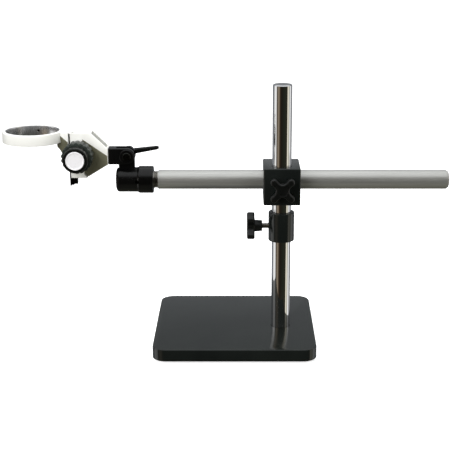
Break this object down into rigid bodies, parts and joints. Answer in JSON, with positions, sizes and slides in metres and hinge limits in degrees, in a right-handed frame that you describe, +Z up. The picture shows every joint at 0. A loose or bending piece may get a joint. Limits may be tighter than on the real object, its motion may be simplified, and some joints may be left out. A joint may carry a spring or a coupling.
{
  "type": "microscope boom stand with rack focus mount",
  "caption": "Boom stand for a stereo microscope: weighted base, chromed post, sliding horizontal boom, tilting rack focus mount and an open head ring.",
  "frame": {"origin": "on the table plane, below the middle of the whole stand's bounding box", "axes": "+Z up, -Y towards the front, where the post clamp knob and the front focus knob point; +X along the boom, away from the focus mount"},
  "size_m": [0.6558, 0.2346, 0.3854],
  "materials": {
    "black_paint": "semi-gloss black enamel",
    "gloss_black": "gloss black enamel",
    "chrome": "polished chrome plate",
    "satin_metal": "satin, finely ground along its length",
    "steel": "turned steel",
    "dark_steel": "blackened steel",
    "brass": "turned brass",
    "white_enamel": "white enamel on a casting",
    "knob_rubber": "dark grey moulded plastic",
    "black_plastic": "black moulded plastic",
    "white_plastic": "white moulded plastic",
    "rubber": "black rubber"
  },
  "bodies": {
    "stand": {"base_plate": "black_paint", "foot_front_left": "rubber", "foot_front_right": "rubber", "foot_rear_left": "rubber", "foot_rear_right": "rubber", "post_bolt": "steel", "post_washer": "steel", "vertical_post": "chrome"},
    "collar": {"stop_collar": "black_paint"},
    "collar_clamp": {"collar_knob": "black_plastic", "collar_stud": "steel"},
    "block": {"cross_block": "black_paint"},
    "post_clamp": {"post_clamp_knob": "black_plastic", "post_clamp_stud": "steel"},
    "arm_clamp": {"arm_clamp_knob": "black_plastic", "arm_clamp_stud": "steel"},
    "boom": {"boom_arm": "satin_metal", "arm_end_plug": "satin_metal", "arm_spigot": "steel"},
    "adapter": {"arm_adapter": "gloss_black", "adapter_set_screw_front": "dark_steel", "adapter_set_screw_rear": "dark_steel"},
    "focus_mount": {"tilt_fork": "gloss_black", "tilt_bolt": "dark_steel", "tilt_washer": "steel", "focus_body": "white_enamel", "gib_screw": "dark_steel", "pinion_bushing_front": "brass", "pinion_bushing_rear": "brass"},
    "lever_nut": {"lever_insert": "dark_steel", "lever_screw": "dark_steel", "lever_spring": "steel"},
    "lever": {"lever_handle": "black_plastic"},
    "pinion": {"pinion_shaft": "steel", "focus_knob_front": "knob_rubber", "focus_knob_rear": "knob_rubber", "knob_cap_front": "white_plastic", "knob_cap_rear": "white_plastic"},
    "tension_ring": {"tension_collar": "knob_rubber"},
    "head_carriage": {"slide_rail": "dark_steel", "rack": "steel", "ring_carrier": "white_enamel", "rail_screw_upper": "steel", "rail_screw_lower": "steel"},
    "stop_screw": {"slide_stop_screw": "dark_steel"},
    "ring_lock": {"ring_lock_screw": "dark_steel"}
  },
  "joints": [
    {"name": "collar_height", "type": "slide", "parent": "stand", "child": "collar", "axis": [0, 0, 1], "range_m": [-0.12, 0.1]},
    {"name": "collar_knob_turn", "type": "hinge", "parent": "collar", "child": "collar_clamp", "pos_m": [0.0606, -0.01625, 0.177], "axis": [-1, 0, 0], "range_deg": [0, 360]},
    {"name": "block_swivel", "type": "hinge", "parent": "collar", "child": "block", "pos_m": [0.0796, -0.01625, 0.23935], "axis": [0, 0, 1], "range_deg": [-180, 180]},
    {"name": "post_clamp_turn", "type": "hinge", "parent": "block", "child": "post_clamp", "pos_m": [0.0796, -0.03625, 0.23935], "axis": [0, -1, 0], "range_deg": [0, 360]},
    {"name": "arm_clamp_turn", "type": "hinge", "parent": "block", "child": "arm_clamp", "pos_m": [0.0796, 0.03375, 0.23935], "axis": [0, 1, 0], "range_deg": [0, 360]},
    {"name": "boom_slide", "type": "slide", "parent": "block", "child": "boom", "axis": [1, 0, 0], "range_m": [-0.18, 0.14]},
    {"name": "adapter_roll", "type": "hinge", "parent": "boom", "child": "adapter", "pos_m": [-0.1204, 0.01375, 0.23935], "axis": [1, 0, 0], "range_deg": [-90, 90]},
    {"name": "head_tilt", "type": "hinge", "parent": "adapter", "child": "focus_mount", "pos_m": [-0.1464, 0.01375, 0.2758], "axis": [0, 1, 0], "range_deg": [-12, 45]},
    {"name": "lever_turn", "type": "hinge", "parent": "focus_mount", "child": "lever_nut", "pos_m": [-0.1464, 0.01375, 0.2758], "axis": [0, 1, 0], "range_deg": [-60, 60]},
    {"name": "lever_lift", "type": "slide", "parent": "lever_nut", "child": "lever", "axis": [0, 1, 0], "range_m": [0, 0.0025]},
    {"name": "focus_turn", "type": "hinge", "parent": "focus_mount", "child": "pinion", "pos_m": [-0.2159, 0.01375, 0.2789], "axis": [0, 1, 0], "range_deg": [-248.28, 0]},
    {"name": "focus_slide", "type": "slide", "parent": "focus_mount", "child": "head_carriage", "axis": [0, 0, 1], "range_m": [-0.026, 0]},
    {"name": "tension_turn", "type": "hinge", "parent": "focus_mount", "child": "tension_ring", "pos_m": [-0.2159, 0.01375, 0.2789], "axis": [0, 1, 0], "range_deg": [-45, 45]},
    {"name": "stop_screw_turn", "type": "hinge", "parent": "head_carriage", "child": "stop_screw", "pos_m": [-0.2249, 0.01375, 0.2383], "axis": [1, 0, 0], "range_deg": [0, 360]},
    {"name": "ring_lock_turn", "type": "hinge", "parent": "head_carriage", "child": "ring_lock", "pos_m": [-0.2816, 0.05769, 0.305], "axis": [0.0523, 0.9986, 0], "range_deg": [0, 360]}
  ],
  "couplings": [
    {"joint": "focus_slide", "follows": "focus_turn", "m_per_rad": 0.006}
  ]
}
